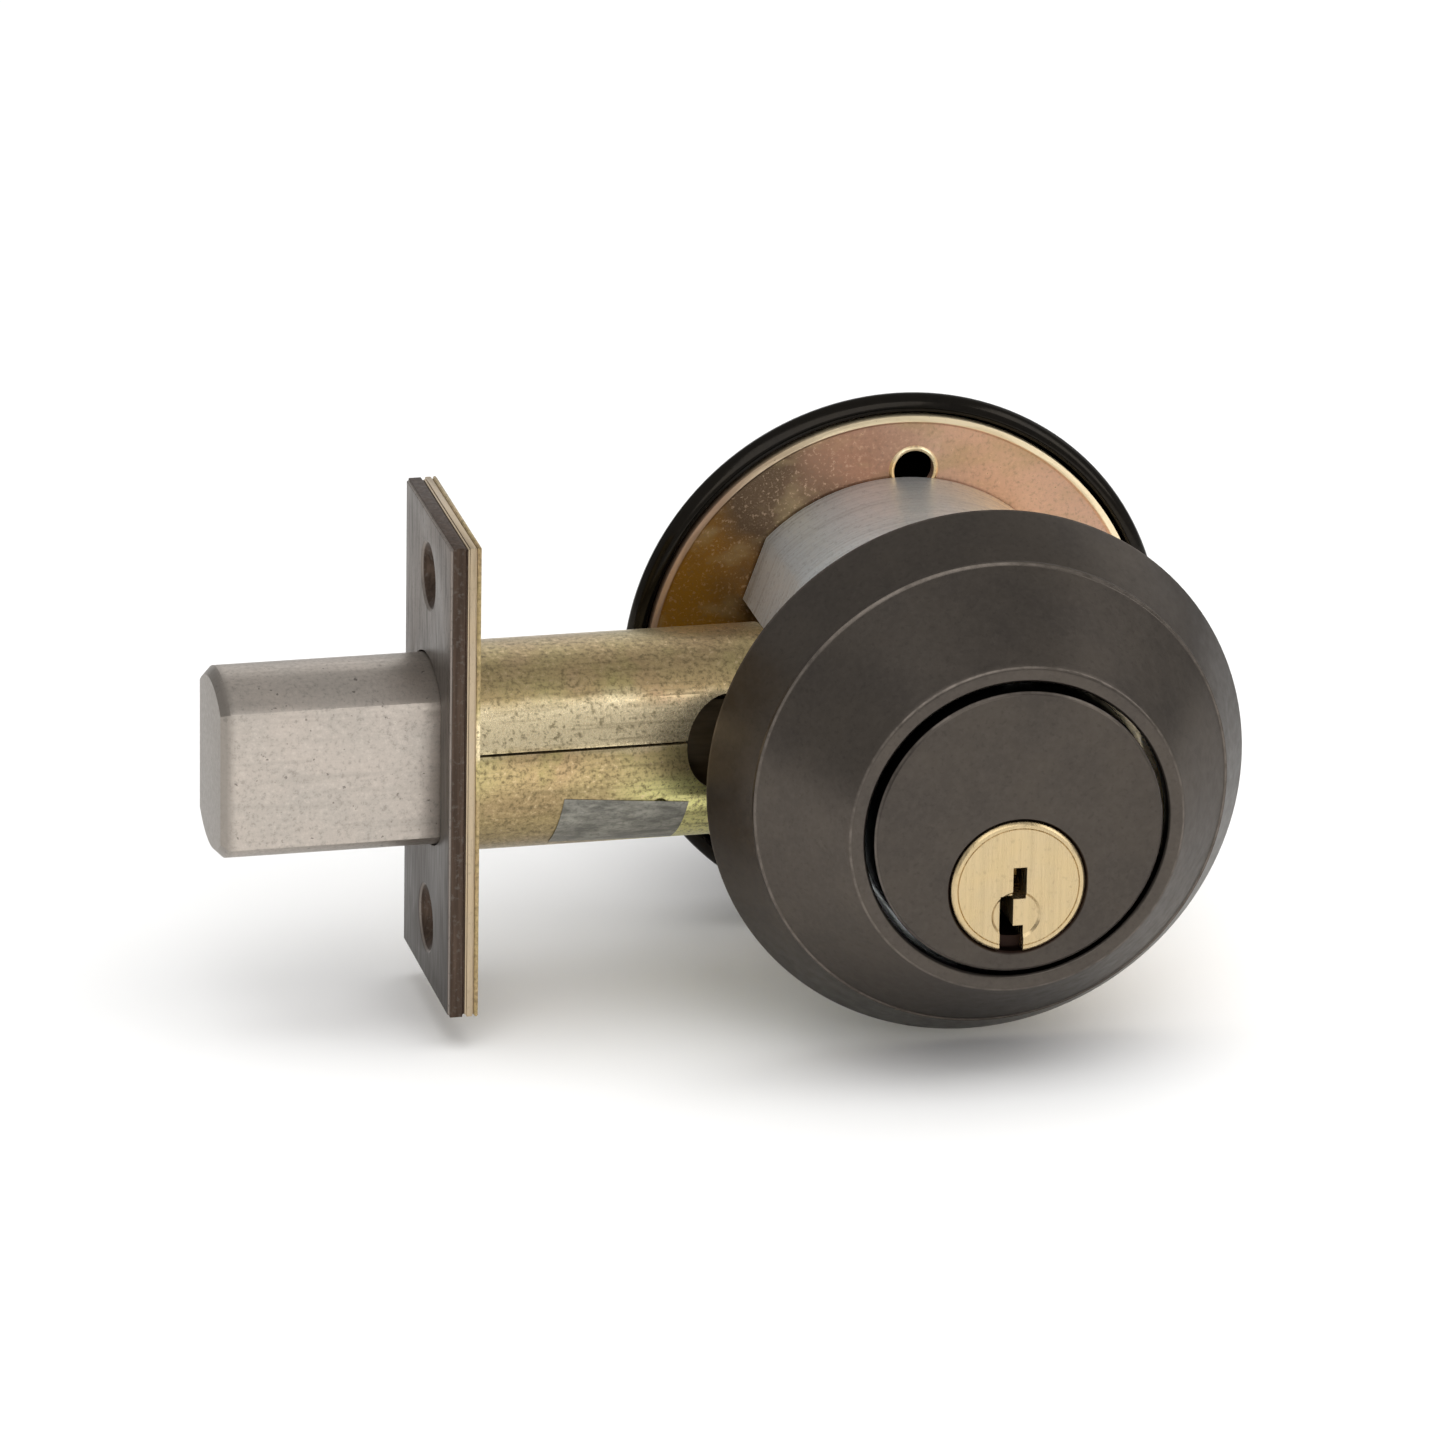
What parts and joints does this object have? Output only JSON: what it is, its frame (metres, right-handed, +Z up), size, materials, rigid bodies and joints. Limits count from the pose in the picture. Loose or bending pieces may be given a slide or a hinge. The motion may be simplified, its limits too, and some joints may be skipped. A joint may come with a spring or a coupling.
{
  "type": "deadbolt door lock",
  "caption": "Single-cylinder deadbolt lock: tapered outside collar with brass keyway, round tube bolt case with faceplate, mounting plate, rose and thumbturn.",
  "frame": {"origin": "where the bolt centreline crosses the lock centre axis, at half the door thickness", "axes": "-X is the way the bolt extends, -Y faces outdoors, +Z is up"},
  "size_m": [0.1183, 0.0905, 0.0652],
  "materials": {
    "dark_bronze": "satin dark bronze",
    "black_bronze": "semi-gloss near-black bronze",
    "hardened_steel": "ground hardened steel",
    "nylon": "natural nylon",
    "spring_steel": "oiled spring steel",
    "zinc_casting": "turned zinc casting",
    "zinc_yellow": "yellow zinc plate",
    "pin_brass": "turned brass",
    "plug_brass": "brushed brass",
    "steel": "plain steel",
    "face_bronze": "satin taupe bronze",
    "backing_brass": "pale brass plate",
    "label_foil": "dull foil, blank",
    "bolt_nickel": "bead-blasted satin nickel",
    "plate_zinc": "iridescent yellow zinc plate"
  },
  "bodies": {
    "root": {"collar_washer": "nylon", "collar_retaining_ring": "spring_steel", "cylinder_housing": "zinc_casting", "cylinder_shell": "dark_bronze", "cylinder_screws": "zinc_yellow", "driver_pins": "pin_brass", "pin_springs": "spring_steel", "spring_cover": "pin_brass", "faceplate": "face_bronze", "backing_plate": "backing_brass", "bolt_tube": "zinc_yellow", "foil_label": "label_foil", "outer_cheek": "zinc_yellow", "inner_cheek": "zinc_yellow", "case_posts": "steel", "cheek_rivets": "zinc_yellow", "mounting_plate": "plate_zinc", "mounting_screws": "zinc_yellow", "inside_rose": "black_bronze", "rose_set_screw": "steel", "thumbturn_bushing": "nylon"},
    "collar": {"outside_collar": "dark_bronze", "guard_ring": "hardened_steel"},
    "plug": {"plug": "plug_brass", "key_pins": "pin_brass", "plug_cap": "zinc_casting", "cap_screws": "steel", "tailpiece": "zinc_yellow"},
    "crank": {"crank": "steel"},
    "thumbturn": {"thumbturn": "dark_bronze", "grip_pin": "steel", "thumbturn_spindle": "steel", "wave_washer": "spring_steel", "retaining_clip": "spring_steel"},
    "bolt": {"deadbolt": "bolt_nickel", "roller_stop": "steel", "bolt_tail": "steel", "tail_rivet": "steel", "drive_pin": "steel"},
    "roller": {"anti_saw_roller": "hardened_steel"}
  },
  "joints": [
    {"name": "thumbturn_turn", "type": "hinge", "parent": "root", "child": "thumbturn", "pos_m": [0, 0, -0.0066], "axis": [0, 1, 0], "range_deg": [0, 90]},
    {"name": "crank_turn", "type": "hinge", "parent": "root", "child": "crank", "pos_m": [0, 0, -0.0066], "axis": [0, 1, 0], "range_deg": [0, 90]},
    {"name": "plug_turn", "type": "hinge", "parent": "root", "child": "plug", "pos_m": [0, 0, -0.0066], "axis": [0, 1, 0], "range_deg": [0, 90]},
    {"name": "bolt_slide", "type": "slide", "parent": "root", "child": "bolt", "axis": [1, 0, 0], "range_m": [0, 0.0254]},
    {"name": "roller_spin", "type": "hinge", "parent": "bolt", "child": "roller", "pos_m": [-0.067, 0, 0], "axis": [1, 0, 0], "continuous": true},
    {"name": "collar_spin", "type": "hinge", "parent": "root", "child": "collar", "pos_m": [0, -0.025, 0], "axis": [0, 1, 0], "continuous": true}
  ],
  "couplings": [
    {"joint": "crank_turn", "follows": "thumbturn_turn", "ratio": 1},
    {"joint": "plug_turn", "follows": "thumbturn_turn", "ratio": 1},
    {"joint": "bolt_slide", "follows": "thumbturn_turn", "m_per_rad": 0.01617}
  ]
}
